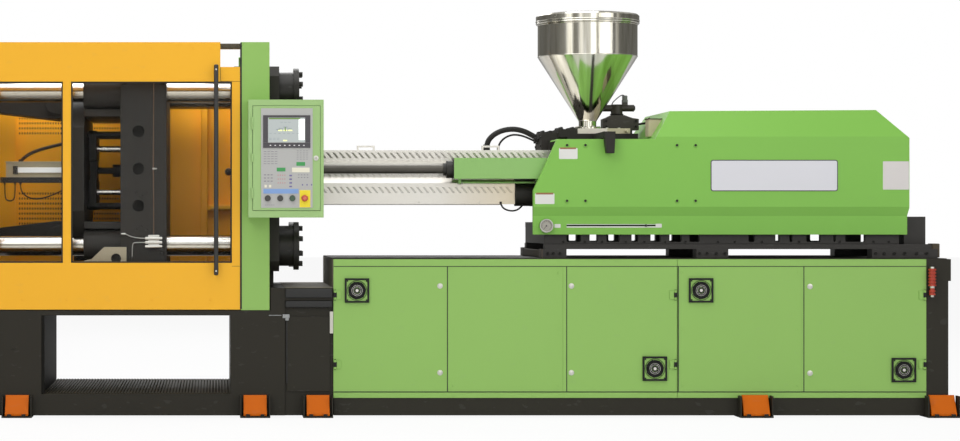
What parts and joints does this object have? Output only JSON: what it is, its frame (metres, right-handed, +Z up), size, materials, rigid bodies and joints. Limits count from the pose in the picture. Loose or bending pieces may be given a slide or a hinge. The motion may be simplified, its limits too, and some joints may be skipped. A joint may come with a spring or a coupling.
{
  "type": "injection moulding machine",
  "caption": "Horizontal toggle-clamp plastics machine with sliding safety gates, hopper, covered injection unit and a cabinet base.",
  "frame": {"origin": "middle of the footprint on the floor", "axes": "+X along the machine from clamp to injection end, -Y the operator's side, +Z up"},
  "size_m": [6.942, 1.62, 2.401],
  "materials": {
    "frame_black": "satin black paint on welded steel",
    "foot_orange": "orange paint",
    "cabinet_green": "satin green paint",
    "cover_green": "satin green paint",
    "box_green": "pale green textured paint",
    "gate_yellow": "yellow powder coat",
    "cast_black": "black paint on a casting",
    "tie_bar_steel": "hard chrome",
    "machined_steel": "machined",
    "guard_stainless": "brushed stainless sheet",
    "hopper_stainless": "polished stainless sheet",
    "screw_steel": "nitrided and polished",
    "rail_black": "black paint with ground running faces",
    "bracket_beige": "beige paint",
    "pane_clear": "clear safety sheet",
    "handle_black": "black plastic grip on steel",
    "membrane_grey": "printed membrane",
    "button_black": "black button",
    "button_green": "dark green button",
    "stop_red": "red mushroom head",
    "hose_black": "black rubber",
    "coupling_red": "red paint",
    "channel_cream": "cream anodised channel",
    "nut_black": "black oxide",
    "switch_grey": "grey housings",
    "motor_blue": "grey-blue paint",
    "valve_metal": "grey valve bodies"
  },
  "bodies": {
    "machine": {"clamp_base": "frame_black", "tread_plate": "frame_black", "link_housing": "frame_black", "machine_feet": "frame_black", "foot_pockets": "foot_orange", "injection_bed": "frame_black", "cabinet_frames": "cabinet_green", "fixed_panels": "cabinet_green", "switchgear": "switch_grey", "pump_motor": "motor_blue", "oil_cooler": "motor_blue", "water_couplings": "coupling_red", "fixed_platen": "cast_black", "tie_bars": "tie_bar_steel", "tie_bar_nuts": "nut_black", "column_guards": "cabinet_green", "gate_tracks": "gate_yellow", "tail_guard": "gate_yellow", "guide_rails": "rail_black", "carriage_rods": "machined_steel", "control_box": "box_green"},
    "tail": {"tail_platen": "cast_black", "adjusting_nuts": "nut_black", "clamp_cylinder": "cast_black"},
    "upper_rear_link": {"rear_link_upper": "cast_black"},
    "lower_rear_link": {"rear_link_lower": "cast_black"},
    "upper_front_link": {"front_link_upper": "cast_black"},
    "lower_front_link": {"front_link_lower": "cast_black"},
    "ram": {"crosshead": "cast_black"},
    "moving": {"moving_platen": "cast_black", "ejector_transducer": "channel_cream", "sensor_cables": "hose_black", "lube_distributor": "machined_steel"},
    "ejector": {"ejector_plate": "nut_black"},
    "gate_front": {"front_gate": "gate_yellow", "gate_panes": "pane_clear", "gate_handle": "handle_black"},
    "gate_rear": {"rear_gate": "gate_yellow"},
    "left_door": {"door_left": "cabinet_green"},
    "middle_door": {"door_middle": "cabinet_green"},
    "right_door": {"door_right": "cabinet_green"},
    "carriage": {"carriage_frame": "rail_black", "carriage_cylinders": "cover_green", "injection_housing": "cast_black", "barrel": "machined_steel", "barrel_guard": "guard_stainless", "injection_cover": "cover_green", "unit_hoses": "hose_black", "valve_block": "valve_metal"},
    "thrust": {"thrust_unit": "cast_black"},
    "plasticiser": {"screw": "screw_steel"},
    "hopper_slide": {"hopper_base": "machined_steel", "hopper": "hopper_stainless"},
    "lid": {"hopper_lid": "hopper_stainless"},
    "panel_door": {"control_door": "box_green", "control_panel": "membrane_grey"},
    "start_button": {"button_start": "button_green"},
    "stop_button": {"button_stop": "button_black"},
    "reset_button": {"button_reset": "button_black"},
    "mushroom_stop": {"emergency_stop": "stop_red"}
  },
  "joints": [
    {"name": "mould_height", "type": "slide", "parent": "machine", "child": "tail", "axis": [1, 0, 0], "range_m": [-0.04, 0.14]},
    {"name": "toggle_upper", "type": "hinge", "parent": "tail", "child": "upper_rear_link", "pos_m": [-2.53, 0.075, 1.843], "axis": [0, 1, 0], "range_deg": [0, 69]},
    {"name": "knee_upper", "type": "hinge", "parent": "upper_rear_link", "child": "upper_front_link", "pos_m": [-2.16, 0.075, 1.843], "axis": [0, 1, 0], "range_deg": [-138, 0]},
    {"name": "platen_pivot", "type": "hinge", "parent": "upper_front_link", "child": "moving", "pos_m": [-1.79, 0.075, 1.843], "axis": [0, 1, 0], "range_deg": [0, 69]},
    {"name": "toggle_lower", "type": "hinge", "parent": "tail", "child": "lower_rear_link", "pos_m": [-2.53, 0.075, 1.043], "axis": [0, 1, 0], "range_deg": [-69, 0]},
    {"name": "knee_lower", "type": "hinge", "parent": "lower_rear_link", "child": "lower_front_link", "pos_m": [-2.16, 0.075, 1.043], "axis": [0, 1, 0], "range_deg": [0, 138]},
    {"name": "clamp_ram", "type": "slide", "parent": "tail", "child": "ram", "axis": [1, 0, 0], "range_m": [-0.1705, 0]},
    {"name": "ejector_stroke", "type": "slide", "parent": "moving", "child": "ejector", "axis": [1, 0, 0], "range_m": [0, 0.08]},
    {"name": "front_gate_slide", "type": "slide", "parent": "machine", "child": "gate_front", "axis": [-1, 0, 0], "range_m": [0, 0.9]},
    {"name": "rear_gate_slide", "type": "slide", "parent": "machine", "child": "gate_rear", "axis": [-1, 0, 0], "range_m": [0, 0.9]},
    {"name": "left_door_hinge", "type": "hinge", "parent": "machine", "child": "left_door", "pos_m": [-0.136, -0.635, 0.508], "axis": [0, 0, -1], "range_deg": [0, 110]},
    {"name": "middle_door_hinge", "type": "hinge", "parent": "machine", "child": "middle_door", "pos_m": [1.839, -0.635, 0.508], "axis": [0, 0, 1], "range_deg": [0, 110]},
    {"name": "right_door_hinge", "type": "hinge", "parent": "machine", "child": "right_door", "pos_m": [3.285, -0.635, 0.508], "axis": [0, 0, 1], "range_deg": [0, 110]},
    {"name": "carriage_slide", "type": "slide", "parent": "machine", "child": "carriage", "axis": [1, 0, 0], "range_m": [0, 0.2]},
    {"name": "injection_stroke", "type": "slide", "parent": "carriage", "child": "thrust", "axis": [1, 0, 0], "range_m": [-0.34, 0.05]},
    {"name": "screw_turn", "type": "hinge", "parent": "thrust", "child": "plasticiser", "pos_m": [2.05, 0.075, 1.443], "axis": [1, 0, 0], "continuous": true},
    {"name": "hopper_shift", "type": "slide", "parent": "carriage", "child": "hopper_slide", "axis": [1, 0, 0], "range_m": [0, 0.11]},
    {"name": "lid_hinge", "type": "hinge", "parent": "hopper_slide", "child": "lid", "pos_m": [1.437, 0.397, 2.346], "axis": [-1, 0, 0], "range_deg": [0, 110]},
    {"name": "panel_door_hinge", "type": "hinge", "parent": "machine", "child": "panel_door", "pos_m": [-0.618, -0.779, 1.5], "axis": [0, 0, -1], "range_deg": [0, 110]},
    {"name": "start_press", "type": "slide", "parent": "panel_door", "child": "start_button", "axis": [0, 1, 0], "range_m": [0, 0.004], "stiffness_N_per_m": 600, "springref_m": -0.002},
    {"name": "stop_press", "type": "slide", "parent": "panel_door", "child": "stop_button", "axis": [0, 1, 0], "range_m": [0, 0.004], "stiffness_N_per_m": 600, "springref_m": -0.002},
    {"name": "reset_press", "type": "slide", "parent": "panel_door", "child": "reset_button", "axis": [0, 1, 0], "range_m": [0, 0.004], "stiffness_N_per_m": 600, "springref_m": -0.002},
    {"name": "emergency_press", "type": "slide", "parent": "panel_door", "child": "mushroom_stop", "axis": [0, 1, 0], "range_m": [0, 0.004], "stiffness_N_per_m": 600, "springref_m": -0.002}
  ],
  "couplings": [
    {"joint": "knee_upper", "follows": "toggle_upper", "ratio": -2},
    {"joint": "platen_pivot", "follows": "toggle_upper", "ratio": 1},
    {"joint": "toggle_lower", "follows": "toggle_upper", "ratio": -1},
    {"joint": "knee_lower", "follows": "toggle_upper", "ratio": 2},
    {"joint": "clamp_ram", "follows": "toggle_upper", "m_per_rad": -0.14112}
  ]
}
